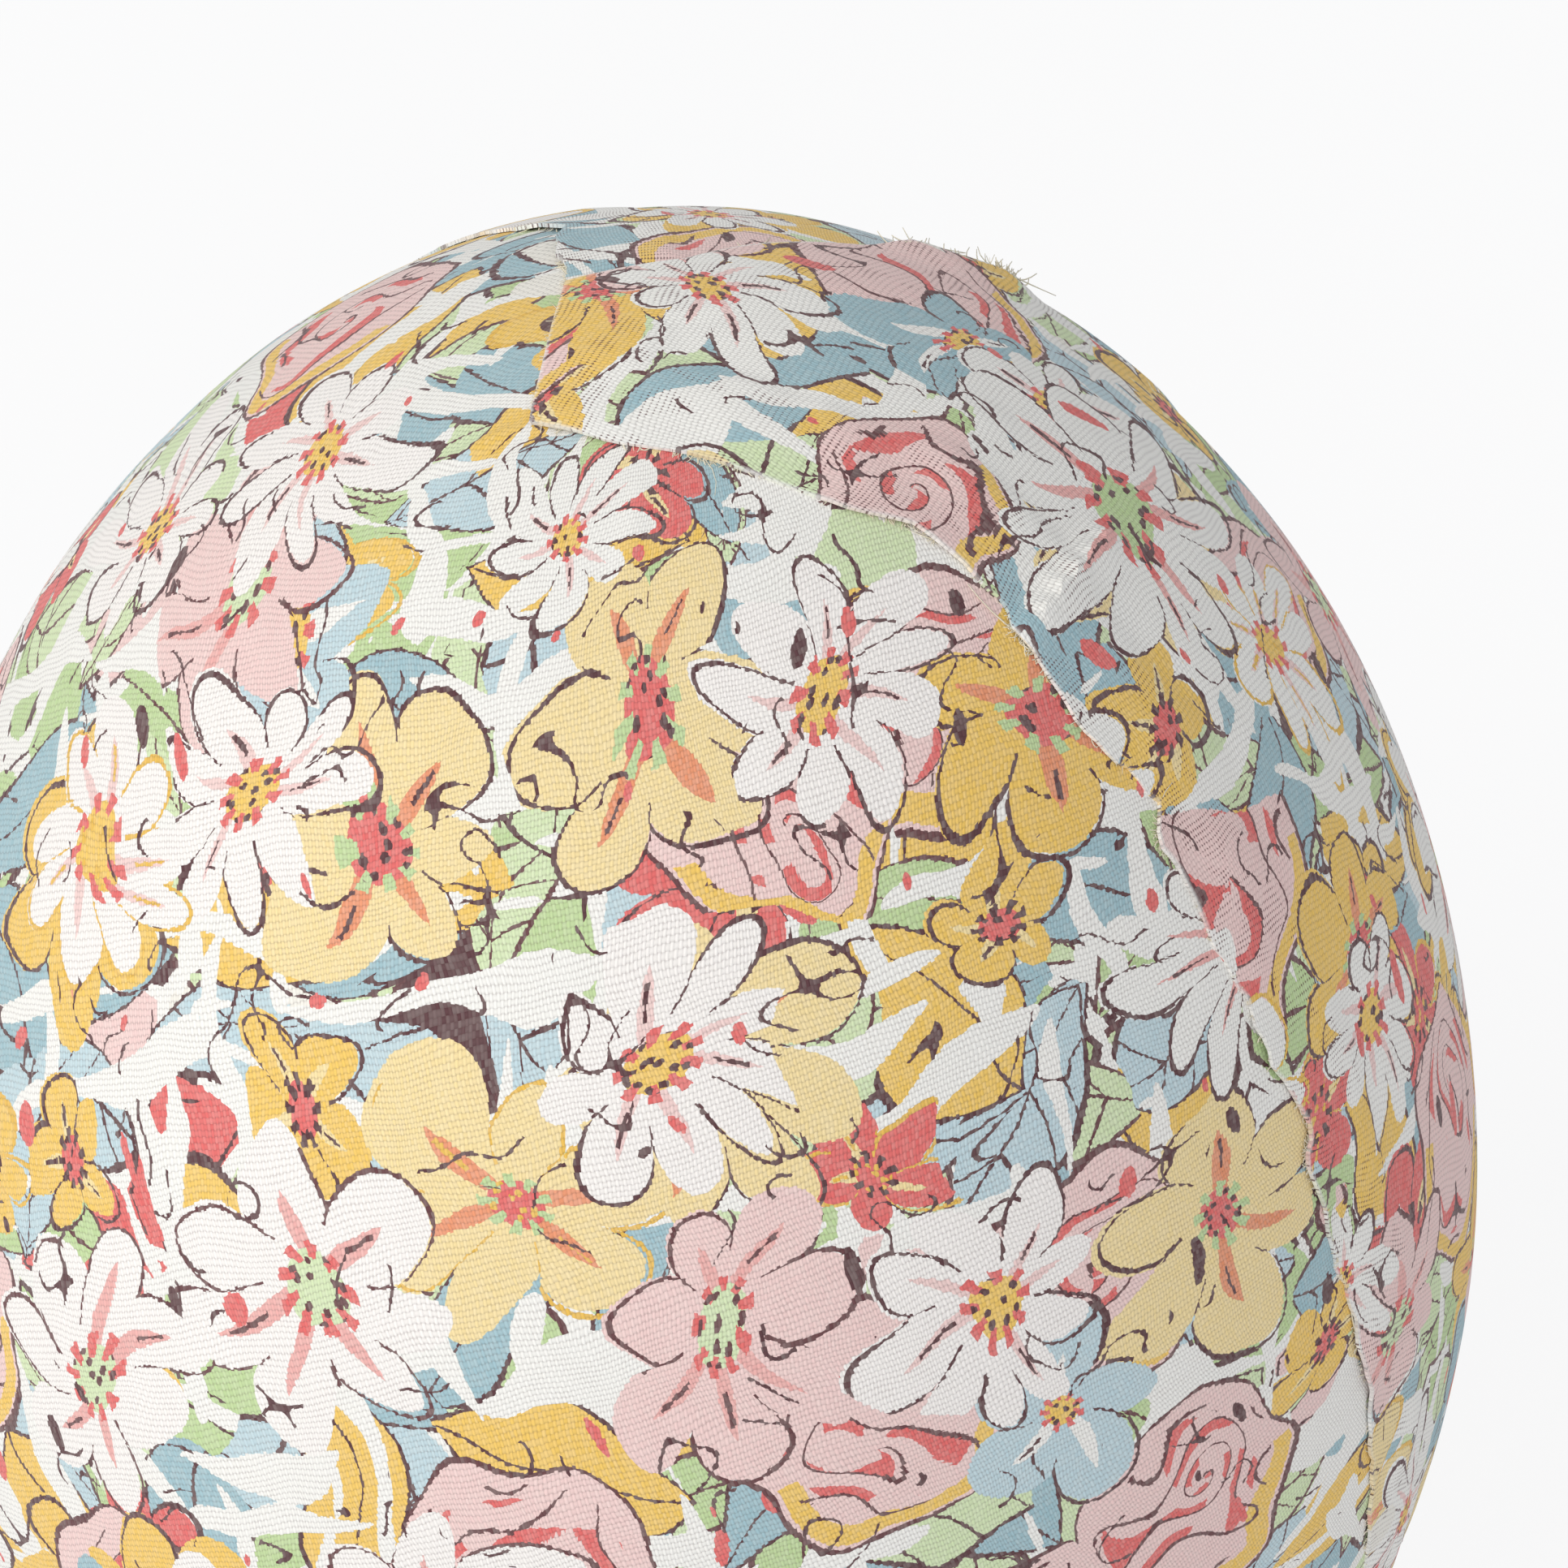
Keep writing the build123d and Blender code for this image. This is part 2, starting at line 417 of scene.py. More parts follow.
def edge_threads(name, flat_line, side_sign, lift_at, count, seed, nicks=()):
    """The loose thread ends along a cut edge: most stick out a little, some lie along it. More
    stand at the nicks, which are given by how far along the edge they are."""
    draw = np.random.default_rng(seed)
    length = length_along(on_egg(*to_polar(flat_line), 0))
    last = length[-1] - threadless_end
    verts, faces, cuts = [], [], []
    for _ in range(count):
        place = draw.uniform(0.5, last)
        if nicks and draw.random() < nick_share:
            place = min(max(draw.choice(nicks) + draw.normal(0, 0.9), 0.3), last)
        start = np.array([np.interp(place, length, flat_line[:, k]) for k in (0, 1)])
        ahead = np.array([np.interp(place + 0.6, length, flat_line[:, k]) for k in (0, 1)])
        way = (ahead - start) / max(np.hypot(*(ahead - start)), 1e-6)
        out = np.array([-way[1], way[0]]) * side_sign
        points, thick = thread_line(draw, start, way, out, lift_at(start))
        first = len(verts)
        verts += thread_tube(points, thick)
        for k in range(thread_parts):
            for m in range(thread_sides):
                p, q = (first + k * thread_sides + n % thread_sides for n in (m, m + 1))
                faces.append((p, q, q + thread_sides, p + thread_sides))
        faces.append(tuple(first + m for m in reversed(range(thread_sides))))
        faces.append(tuple(first + thread_parts * thread_sides + m for m in range(thread_sides)))
        cuts += [(start[0], start[1], draw.random())] * (thread_sides * (thread_parts + 1))
    piece = put_in_scene(name, verts, faces, cuts)
    bpy.ops.object.mode_set(mode="EDIT")
    bpy.ops.mesh.select_all(action="SELECT")
    bpy.ops.mesh.normals_make_consistent(inside=False)
    bpy.ops.object.mode_set(mode="OBJECT")
    bpy.ops.object.shade_smooth()
    return piece


# The right piece, which laps over the other two and covers the pole.
angle, run, right_front_line, right_back_line = right_grid()
tip_line = np.linspace(right_front_line[0], right_back_line[0], 30)
flat = from_polar(angle, run)
bare = on_egg(angle, run, layer)
from_edge = from_edges([right_front_line, right_back_line, tip_line], bare)
from_back = from_edges([right_back_line], bare)
from_front = from_edges([right_front_line], bare)

unstuck = 0.75  # how far the right piece's back edge has come away, near the crown


def unstuck_share(run):
    """How much of that the edge is lifted at a run."""
    return smooth(19, 22.5, run) * (1 - smooth(27, 31, run))


def back_lift(place):
    """How far the back edge's threads are lifted at a flat place."""
    return unstuck * float(unstuck_share(np.hypot(*place)))


# Soft ridges: start and end from above, width, height, and how much steeper one side is.
right_ridges = [
    ((17.6, -11.6), (22.8, -2.0), 1.5, 0.85, 4.0),  # the tuck beside the front seam
    ((13, -4), (16, 3), 2.2, 0.2, 1.0),
    ((9, -5.5), (6, 1), 1.4, 0.16, 1.8),
    ((1, -3.5), (4.5, 1.5), 1.1, 0.12, 1.0),
    ((26, -15), (31, -8), 1.6, 0.22, 1.6),
    ((33, -19), (38, -13), 1.8, 0.18, 1.0),
]
height = layer + layer * (1 - smooth(lap_top, lap_foot, from_edge)) + uneven(bare)
height += unstuck * unstuck_share(run) * np.exp(-((from_back / 1.9) ** 2))
for ridge in right_ridges:
    height += crease(flat, *ridge)
height += puckers(bare, from_front) + gathers(angle, run)
frayed_up = smooth(-0.2, 1.0, np.sin(run * 0.55 + 1.2) + 0.5 * np.sin(run * 1.37))
height += 0.15 * np.exp(-((from_front / 0.9) ** 2)) * frayed_up
right_points = on_egg(angle, run, height)
right_flat = laid_flat(right_points, angle=98.0, run=50.0, grain=-35.0)
right_cloth, right_size, right_area = cloth_piece("right_cloth", right_points, right_flat, from_edge)

def back_of_right(run):
    """Where the right piece's back edge is at a run. Below the tip, it only ever falls."""
    back_angle, back_run = to_polar(right_back_line)
    back_angle = np.where(back_angle < -100, back_angle + 360, back_angle)
    falling = np.argmax(back_run > 12)
    return np.interp(run, back_run[falling:], back_angle[falling:])


def front_of_right(run):
    """Where its front edge is, which falls likewise."""
    front_angle, front_run = to_polar(right_front_line)
    falling = np.argmax(front_run > 13.2)
    return np.interp(run, front_run[falling:], front_angle[falling:])


def in_degrees(distance, run):
    """A distance round the egg at a run, as an angle."""
    return np.degrees(distance / np.maximum(reach_at(run), 9.0))


def back_left_edge(run):
    """Where the back piece's left edge is."""
    return back_left_seam + wandering(left_wander, run)


# The back piece, under the right one and over the front one.
angle, run = belt_grid(
    lambda turn: np.full(np.shape(turn), back_top),
    lambda down: back_of_right(down) - in_degrees(covered, down),
    back_left_edge,
)
bare = on_egg(angle, run, layer)
down = np.arange(back_top, hem_run, fine_step)
back_left_line = from_polar(back_left_edge(down), down)
from_edge = from_edges([back_left_line], bare)
height = layer + layer * (1 - smooth(lap_top, lap_foot, from_edge)) * smooth(9, 11, run) + uneven(bare)
loose_edge = smooth(12, 14, run) * (1 - smooth(19, 24, run))
height += 0.22 * np.exp(-((from_edge / 1.2) ** 2)) * loose_edge
height = np.where(run < 11, np.minimum(height, layer + 0.02), height)  # flat under the tip
height += gathers(angle, run)
back_points = on_egg(angle, run, height)
back_flat = laid_flat(back_points, angle=176.0, run=55.0, grain=12.0) + np.array(back_cut_at)
back_cloth, back_size, back_area = cloth_piece("back_cloth", back_points, back_flat, from_edge)


# The front piece, on the foam all over, from under the right piece round the left to under the back.
def top_of_front(turn):
    """The front piece's top edge, as a run: it is in under the right piece's tip."""
    count = 24  # of the points of each edge, which are beside the tip
    front, back = right_front_line[:count], right_back_line[1:count]
    outline = np.concatenate([front[::-1], tip_line[1:], back])
    outline_angle, outline_run = to_polar(outline)
    outline_angle = np.where(outline_angle > 100, outline_angle - 360, outline_angle)
    order = np.argsort(outline_angle)
    far = np.interp(turn, outline_angle[order], outline_run[order])
    return np.maximum(far - covered, 1.2)


front_ridges = [
    ((-13.5, -4.2), (-8.4, -2.2), 0.5, 0.28, 1.8),
    ((-11.6, -6.5), (-7.4, -3.6), 0.45, 0.16, 1.0),
    ((-3, -12), (-2.2, -6.4), 0.6, 0.12, 1.0),
]
angle, run = belt_grid(
    top_of_front,
    lambda down: back_left_edge(down) - 360 - in_degrees(covered, down),
    lambda down: front_of_right(down) + in_degrees(covered, down),
)
flat = from_polar(angle, run)
height = layer + uneven(on_egg(angle, run, layer))
for ridge in front_ridges:
    height += crease(flat, *ridge)
front_points = on_egg(angle, run, height + gathers(angle, run))
front_flat = laid_flat(front_points, angle=-20.0, run=58.0, grain=25.0) + np.array(front_cut_at)
no_edge = np.full(run.shape, far_from_edge)  # both its edges are covered
front_cloth, front_size, front_area = cloth_piece("front_cloth", front_points, front_flat, no_edge)


def no_lift(place):
    """The same as back_lift, for an edge that is stuck down all along."""
    return 0.0


# Loose threads along the edges that show. The tip's is run on by what is left without them.
tip_edge = np.concatenate([tip_line, tip_line[-1:] + [[1.5, threadless_end]]])
front_nicks, back_nicks, left_nicks = (9.0, 19.5, 28.5, 41.5, 62.0), (10.0, 27.0, 33.0), (4.0, 30.0)
seam_threads = edge_threads("front_seam_threads", right_front_line, -1, no_lift, 560, 3, front_nicks)
back_threads = edge_threads("back_seam_threads", right_back_line, 1, back_lift, 460, 4, back_nicks)
tip_threads = edge_threads("crown_tip_threads", tip_edge, 1, no_lift, 60, 5)
left_threads = edge_threads("left_seam_threads", back_left_line, 1, no_lift, 360, 6, left_nicks)

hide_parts("front_cloth_panel")
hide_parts("right_cloth_panel")
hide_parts("back_cloth_panel")

# ---------------------------------------------------------------- the felt under the foot

low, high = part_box("base_felt")
felt_radius = (high[0] - low[0]) / 2
felt_high = high[2] - low[2]
bpy.ops.object.select_all(action="DESELECT")
bpy.ops.mesh.primitive_circle_add(
    vertices=128, radius=felt_radius, fill_type="NGON", location=(0, 0, low[2])
)
felt_disc = bpy.context.object
felt_disc.name = "felt_disc"
bpy.ops.object.mode_set(mode="EDIT")
bpy.ops.mesh.select_all(action="SELECT")
for ring_width in (2, 4, 6):
    bpy.ops.mesh.inset(thickness=ring_width * MM)
bpy.ops.mesh.select_all(action="SELECT")
bpy.ops.mesh.extrude_region_move(TRANSFORM_OT_translate={"value": (0, 0, felt_high)})
bpy.ops.mesh.select_all(action="SELECT")
bpy.ops.mesh.normals_make_consistent(inside=False)
bpy.ops.object.mode_set(mode="OBJECT")
bpy.ops.object.transform_apply(location=True, rotation=True, scale=True)
round_off = felt_disc.modifiers.new("worn_edge", "BEVEL")
round_off.width = 0.3 * MM
round_off.segments = 3
bpy.ops.object.modifier_apply(modifier="worn_edge")
bpy.ops.object.shade_smooth_by_angle(angle=math.radians(60))
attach(felt_disc, body)
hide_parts("base_felt")

# ---------------------------------------------------------------- materials

def linear(code):
    """A colour written as sRGB hex, as the linear values that Blender's sockets hold."""
    values = [int(code[k:k + 2], 16) / 255 for k in (1, 3, 5)]
    return tuple(v / 12.92 if v <= 0.04045 else ((v + 0.055) / 1.055) ** 2.4 for v in values) + (1.0,)


def put(tree, kind, *inputs, out=0, **settings):
    """Add a node, set it, feed its inputs in order, and give back one of its outputs. A kind that
    is all capitals is one of the Math node's operations."""
    if kind.isupper():
        kind, settings["operation"] = "ShaderNodeMath", kind
    node = tree.nodes.new(kind)
    for name, value in settings.items():
        setattr(node, name, value)
    for socket, value in zip(node.inputs, inputs):
        if isinstance(value, bpy.types.NodeSocket):
            tree.links.new(value, socket)
        elif value is not None:
            socket.default_value = value
    return node.outputs[out]


VECTOR, MIX, GROUP = "ShaderNodeVectorMath", "ShaderNodeMixRGB", "ShaderNodeGroup"
VORONOI, NOISE, BUMP = "ShaderNodeTexVoronoi", "ShaderNodeTexNoise", "ShaderNodeBump"
SPLIT, JOIN = "ShaderNodeSeparateXYZ", "ShaderNodeCombineXYZ"
CHANNELS, MAP_RANGE = "ShaderNodeSeparateColor", "ShaderNodeMapRange"
unset = [None] * 4  # the Voronoi node's inputs between its detail and its randomness
full_turn, half_turn, per_turn = 6.2832, 3.1416, 0.159155


def bare_nodes(owner):
    """The node tree of a material or world, with nothing in it."""
    owner.use_nodes = True
    owner.node_tree.nodes.clear()
    return owner.node_tree


def pattern_group(name, numbers, colours):
    """An empty group for one printed motif, with the inputs it takes."""
    group = bpy.data.node_groups.new(name, "ShaderNodeTree")
    fields = [("Place", "Vector"), ("Under", "Color")]
    fields += [(field, "Float") for field in numbers] + [(field, "Color") for field in colours]
    for field, kind in fields:
        group.interface.new_socket(field, in_out="INPUT", socket_type="NodeSocket" + kind)
    group.interface.new_socket("Colour", in_out="OUTPUT", socket_type="NodeSocketColor")
    given = group.nodes.new("NodeGroupInput")
    return group, {field: given.outputs[field] for field, _ in fields}


def scattered(t, given, stray):
    """One motif in each cell of the cloth: three chances for it, a point's place from its middle,
    and whether it is printed at all. Stray is how far it may be from the middle of its cell."""
    per_mm = put(t, "DIVIDE", 1.0, given["Cell"])
    cells = put(t, VORONOI, given["Place"], None, per_mm, 0, *unset, stray, voronoi_dimensions="2D")
    chances = put(t, CHANNELS, cells.node.outputs["Color"]).node.outputs
    local = put(t, VECTOR, given["Place"], cells.node.outputs["Position"], operation="SUBTRACT")
    return chances, local, put(t, "GREATER_THAN", chances[2], given["Missing"])


# A printed flower: turned and sized by chance, with its petals drawn one by one in broken brown
# ink that doesn't quite meet the colour under it.
bloom, given = pattern_group(
    "printed_bloom",
    ["Cell", "Radius", "Petals", "Core", "Missing", "Blunt", "Breaks"],
    ["Petal", "Other petal", "Tint", "Centre", "Marks", "Ink"],
)
t = bloom
(chance_1, chance_2, _), local, shown = scattered(t, given, 0.62)
x, y, _ = put(t, SPLIT, local).node.outputs
turned = put(t, "ADD", put(t, "ARCTAN2", y, x), put(t, "MULTIPLY", chance_1, full_turn))
far = put(t, VECTOR, local, operation="LENGTH", out=1)
size = put(t, "MULTIPLY", given["Radius"], put(t, "MULTIPLY_ADD", chance_2, 0.34, 0.83))
size = put(t, "MULTIPLY", size, shown)
core = put(t, "MULTIPLY", size, given["Core"])
in_core = put(t, "LESS_THAN", far, core)
pen = put(t, "MULTIPLY_ADD", given["Breaks"], 0.16, 0.05)  # half an ink line's width in millimetres
# the petal, how far across it a point is, from 0 at its middle to 1, and its own difference
petal_turn = put(t, "MULTIPLY", put(t, "MULTIPLY", turned, per_turn), given["Petals"])
petal_number = put(t, "FLOORED_MODULO", put(t, "FLOOR", petal_turn), given["Petals"])
across = put(t, "ABSOLUTE", put(t, "SUBTRACT", put(t, "FRACT", petal_turn), 0.5))
across = put(t, "MULTIPLY", across, 2.0)
own = put(t, "MULTIPLY", put(t, "MULTIPLY_ADD", petal_number, 2.4, chance_2), 7.0)
own = put(t, "SINE", own)
# the petal's end, and the colour inside it, which is printed a little to one side
length = put(t, "MULTIPLY", size, put(t, "MULTIPLY_ADD", own, 0.09, 1.0))
rounding = put(t, "MULTIPLY_ADD", put(t, "POWER", across, given["Blunt"]), -0.42, 1.0)
outer = put(t, "MULTIPLY", length, rounding)
past = put(t, "SUBTRACT", far, outer)
slipped = put(t, VECTOR, local, (0.34, -0.26, 0), operation="ADD")
slipped = put(t, VECTOR, slipped, operation="LENGTH", out=1)
inside = put(t, "LESS_THAN", slipped, outer)
# ink round the petals' ends, which some petals lack
slant = put(t, "MULTIPLY_ADD", put(t, "MULTIPLY", across, given["Petals"]), 0.1, 1.0)
drawn_part = put(t, "SINE", put(t, "MULTIPLY_ADD", petal_number, 3.7, given["Breaks"]))
drawn_part = put(t, "GREATER_THAN", drawn_part, -0.62)
outline = put(t, "LESS_THAN", put(t, "ABSOLUTE", put(t, "DIVIDE", past, slant)), pen)
outline = put(t, "MULTIPLY", outline, drawn_part)
# ink between the petals, from part of the way in
petal_half = put(t, "DIVIDE", half_turn, given["Petals"])
border = put(t, "MULTIPLY", put(t, "SUBTRACT", 1.0, across), far)
border = put(t, "MULTIPLY", border, petal_half)
reaches_in = put(t, "MULTIPLY", size, put(t, "MULTIPLY_ADD", own, 0.2, 0.5))
outside_core = put(t, "GREATER_THAN", far, put(t, "MAXIMUM", reaches_in, core))
between_petals = put(t, "LESS_THAN", border, put(t, "MULTIPLY", pen, 0.8))
between_petals = put(t, "MULTIPLY", between_petals, put(t, "LESS_THAN", past, 0.0))
between_petals = put(t, "MULTIPLY", between_petals, outside_core)
# a short stroke down the middle of some petals
from_rib = put(t, "MULTIPLY", put(t, "MULTIPLY", across, far), petal_half)
rib_end = put(t, "LESS_THAN", far, put(t, "MULTIPLY", size, 0.62))
rib_start = put(t, "GREATER_THAN", far, put(t, "MULTIPLY", size, 0.36))
midrib = put(t, "LESS_THAN", from_rib, put(t, "MULTIPLY", pen, 0.7))
midrib = put(t, "MULTIPLY", midrib, put(t, "MULTIPLY", rib_end, rib_start))
midrib = put(t, "MULTIPLY", midrib, put(t, "GREATER_THAN", own, 0.35))
# coloured ticks round the centre, and dark seeds in it
ring = put(t, "ABSOLUTE", put(t, "SUBTRACT", far, core))
ring = put(t, "LESS_THAN", ring, put(t, "MULTIPLY", core, 0.3))
ticks = put(t, "GREATER_THAN", put(t, "SINE", put(t, "MULTIPLY", turned, 9.0)), 0.1)
seeds = put(t, VORONOI, given["Place"], None, 1.15, 0, *unset, 1.0, voronoi_dimensions="2D")
seeds = put(t, "LESS_THAN", seeds, 0.24)
ink_all = put(t, "MAXIMUM", outline, put(t, "MAXIMUM", between_petals, midrib))
ink_all = put(t, "MAXIMUM", ink_all, put(t, "MULTIPLY", in_core, seeds))
ink_all = put(t, "MULTIPLY", ink_all, shown)
# a tinted streak up the middle of most petals
streak = put(t, "MULTIPLY", put(t, "MULTIPLY_ADD", across, -0.9, 0.66), length)
streak = put(t, "LESS_THAN", far, streak)
streak = put(t, "MULTIPLY", streak, put(t, "GREATER_THAN", own, -0.45))
other = put(t, "GREATER_THAN", chance_2, 0.55)
petal_colour = put(t, MIX, other, given["Petal"], given["Other petal"])
petal_colour = put(t, MIX, streak, petal_colour, given["Tint"])
colour = put(t, MIX, inside, given["Under"], petal_colour)
colour = put(t, MIX, put(t, "MULTIPLY", in_core, shown), colour, given["Centre"])
ticked = put(t, "MULTIPLY", put(t, "MULTIPLY", ring, ticks), shown)
colour = put(t, MIX, ticked, colour, given["Marks"])
yellow_pen = put(t, "GREATER_THAN", chance_1, 0.8)
colour = put(t, MIX, ink_all, colour, put(t, MIX, yellow_pen, given["Ink"], linear("#EDBF55")))
t.links.new(colour, t.nodes.new("NodeGroupOutput").inputs[0])

# A printed leaf, with a midrib and, on half of them, slanting veins.
leaf, given = pattern_group(
    "printed_leaf",
    ["Cell", "Length", "Width", "Missing", "Breaks"],
    ["Fill", "Other fill", "Ink"],
)
t = leaf
(chance_1, chance_2, _), local, shown = scattered(t, given, 0.8)
way = put(t, "MULTIPLY", chance_1, full_turn)
local = put(t, "ShaderNodeVectorRotate", local, None, None, way, rotation_type="Z_AXIS")
x, y, _ = put(t, SPLIT, local).node.outputs
share = put(t, "DIVIDE", x, given["Length"])
curve = put(t, "MULTIPLY_ADD", put(t, "MULTIPLY", share, share), -1.0, 1.0)
aside = put(t, "ABSOLUTE", y)
past = put(t, "SUBTRACT", aside, put(t, "MULTIPLY", curve, given["Width"]))
inside = put(t, "MULTIPLY", put(t, "LESS_THAN", past, 0.0), shown)
pen = put(t, "MULTIPLY_ADD", given["Breaks"], 0.15, 0.045)
outline = put(t, "LESS_THAN", put(t, "ABSOLUTE", past), pen)
outline = put(t, "MULTIPLY", outline, put(t, "GREATER_THAN", curve, -0.05))
veins = put(t, "MULTIPLY", put(t, "MULTIPLY_ADD", aside, -0.9, x), 0.36)
veins = put(t, "LESS_THAN", put(t, "FRACT", veins), put(t, "MULTIPLY", pen, 0.55))
other = put(t, "GREATER_THAN", chance_2, 0.5)
veins = put(t, "MULTIPLY", veins, other)
midrib = put(t, "LESS_THAN", aside, put(t, "MULTIPLY", pen, 0.6))
ink_inside = put(t, "MULTIPLY", put(t, "MAXIMUM", veins, midrib), inside)
ink_all = put(t, "MAXIMUM", put(t, "MULTIPLY", outline, shown), ink_inside)
fill = put(t, MIX, other, given["Fill"], given["Other fill"])
colour = put(t, MIX, inside, given["Under"], fill)
colour = put(t, MIX, ink_all, colour, given["Ink"])
t.links.new(colour, t.nodes.new("NodeGroupOutput").inputs[0])

# A printed rose: a round wavy patch with a brush stroke winding to its middle.
rose, given = pattern_group(
    "printed_rose",
    ["Cell", "Radius", "Missing", "Breaks"],
    ["Fill", "Edge", "Swirl", "Ink"],
)
t = rose
(chance_1, chance_2, _), local, shown = scattered(t, given, 0.7)
x, y, _ = put(t, SPLIT, local).node.outputs
turned = put(t, "ADD", put(t, "ARCTAN2", y, x), put(t, "MULTIPLY", chance_1, full_turn))
far = put(t, VECTOR, local, operation="LENGTH", out=1)
size = put(t, "MULTIPLY", given["Radius"], put(t, "MULTIPLY_ADD", chance_2, 0.3, 0.85))
lobes = put(t, "MULTIPLY_ADD", put(t, "SINE", put(t, "MULTIPLY", turned, 5.0)), 0.07, 1.0)
past = put(t, "SUBTRACT", far, put(t, "MULTIPLY", size, lobes))
inside = put(t, "MULTIPLY", put(t, "LESS_THAN", past, 0.0), shown)
pen = put(t, "MULTIPLY_ADD", given["Breaks"], 0.16, 0.05)
outline = put(t, "MULTIPLY", put(t, "LESS_THAN", put(t, "ABSOLUTE", past), pen), shown)
# the stroke is a spiral, bent by the hand's noise and broken into dashes, with ink beside it
winding = put(t, "ADD", put(t, "MULTIPLY", far, 0.40), put(t, "MULTIPLY", turned, per_turn))
winding = put(t, "FRACT", put(t, "MULTIPLY_ADD", given["Breaks"], 2.6, winding))
dashes = put(t, "SINE", put(t, "MULTIPLY_ADD", turned, 3.0, far))
dashes = put(t, "GREATER_THAN", dashes, -0.15)
swirl = put(t, "MULTIPLY", put(t, "LESS_THAN", winding, 0.36), dashes)
swirl = put(t, "MULTIPLY", swirl, put(t, "LESS_THAN", far, put(t, "MULTIPLY", size, 0.72)))
line = put(t, "ABSOLUTE", put(t, "SUBTRACT", winding, 0.4))
line = put(t, "LESS_THAN", line, put(t, "MULTIPLY", pen, 0.34))
line = put(t, "MULTIPLY", line, put(t, "LESS_THAN", far, put(t, "MULTIPLY", size, 0.85)))
# a band of the second colour inside the rose's lower edge
band = put(t, "LESS_THAN", put(t, "ABSOLUTE", put(t, "ADD", past, 0.8)), 0.5)
band = put(t, "MULTIPLY", band, put(t, "LESS_THAN", y, -1.0))
colour = put(t, MIX, inside, given["Under"], given["Fill"])
colour = put(t, MIX, put(t, "MULTIPLY", band, inside), colour, given["Edge"])
colour = put(t, MIX, put(t, "MULTIPLY", swirl, inside), colour, given["Swirl"])
ink_all = put(t, "MAXIMUM", outline, put(t, "MULTIPLY", line, inside))
colour = put(t, MIX, ink_all, colour, given["Ink"])
t.links.new(colour, t.nodes.new("NodeGroupOutput").inputs[0])

# The printer's colours: pigment on bleached cotton.
white, cream, blush = linear("#F8F6F0"), linear("#F4F0E6"), linear("#FBF6F1")
yellow, butter, apricot = linear("#F6CC68"), linear("#F8E0A4"), linear("#EE9A72")
coral, rosy, pink = linear("#E8706D"), linear("#F0B3AD"), linear("#F4D3CE")
green, pale_green = linear("#C3DA9F"), linear("#D8E8BA")
blue, pale_blue = linear("#A4C4CC"), linear("#C4DAE0")
plum, brown = linear("#5E3C40"), linear("#6B4346")

# The ground of the print: patches of colour, by what share of them starts where.
ground = [
    (0.0, white), (0.1, pink), (0.15, pale_green), (0.39, pale_blue), (0.47, blue),
    (0.54, yellow), (0.67, cream), (0.7, green), (0.93, coral), (0.975, plum),
]
# Layers of motifs, first to last: the motif, where its scatter starts, its numbers up to the breaks
# in the ink, and its colours. Cells, lengths, widths and radii are in millimetres.
leaf_layers = [
    (leaf, (3, 50), (8.5, 5.5, 2.0, 0.15), (green, pale_green, brown)),
    (leaf, (71, 9), (9.5, 6.2, 3.0, 0.2), (blue, pale_blue, plum)),
    (leaf, (19, 33), (14.0, 7.0, 3.4, 0.35), (yellow, pale_green, plum)),
]
flower_layers = [
    (bloom, (31, 17), (12.5, 4.4, 5.0, 0.26, 0.5, 2.0), (yellow, coral, butter, coral, plum, plum)),
    (rose, (11, 83), (18.0, 6.4, 0.45), (pink, yellow, coral, brown)),
    (bloom, (23, 47), (18.5, 7.2, 6.0, 0.2, 0.5, 1.8), (yellow, butter, apricot, coral, green, plum)),
    (bloom, (83, 5), (16.0, 6.0, 5.0, 0.2, 0.66, 1.8), (blue, pale_blue, white, yellow, coral, plum)),
    (bloom, (41, 71), (19.0, 7.4, 7.0, 0.2, 0.6, 1.8), (pink, blush, rosy, pale_green, coral, brown)),
    (bloom, (57, 29), (17.0, 6.3, 9.0, 0.22, 0.5, 2.0), (white, blush, pink, yellow, coral, plum)),
    (bloom, (97, 61), (24.0, 9.4, 11.0, 0.2, 0.38, 2.0), (white, cream, rosy, green, coral, plum)),
]

warp_pitch, weft_pitch = 0.183, 0.312  # 55 threads a centimetre one way and 32 the other
patch_size = 7.5
dab_size = 4.2


def print_layers(t, colour, drawn, breaks, layers):
    """The colour with these layers of motifs printed over it."""
    for motif, (right, up), numbers, inks in layers:
        start = put(t, VECTOR, drawn, (right, up, 0), operation="ADD")
        colour = put(t, GROUP, start, colour, *numbers, breaks, *inks, node_tree=motif)
    return colour


def noise_vector(t, place, scale, detail, roughness, reach):
    """A push one way or another from place to place, by up to half the reach."""
    push = put(t, NOISE, place, None, scale, detail, roughness, out=1, noise_dimensions="2D")
    push = put(t, VECTOR, push, (0.5, 0.5, 0.5), operation="SUBTRACT")
    return put(t, VECTOR, push, (reach, reach, 0), operation="MULTIPLY")


def surface(t, colour, height, strength, depth):
    """The shader of a material with this colour and bump. Gives it back for its own numbers."""
    bump = put(t, BUMP, strength, depth, None, height)
    shader = t.nodes.new("ShaderNodeBsdfPrincipled")
    t.links.new(colour, shader.inputs["Base Color"])
    t.links.new(bump.node.outputs[0], shader.inputs["Normal"])
    t.links.new(shader.outputs[0], t.nodes.new("ShaderNodeOutputMaterial").inputs[0])
    return shader


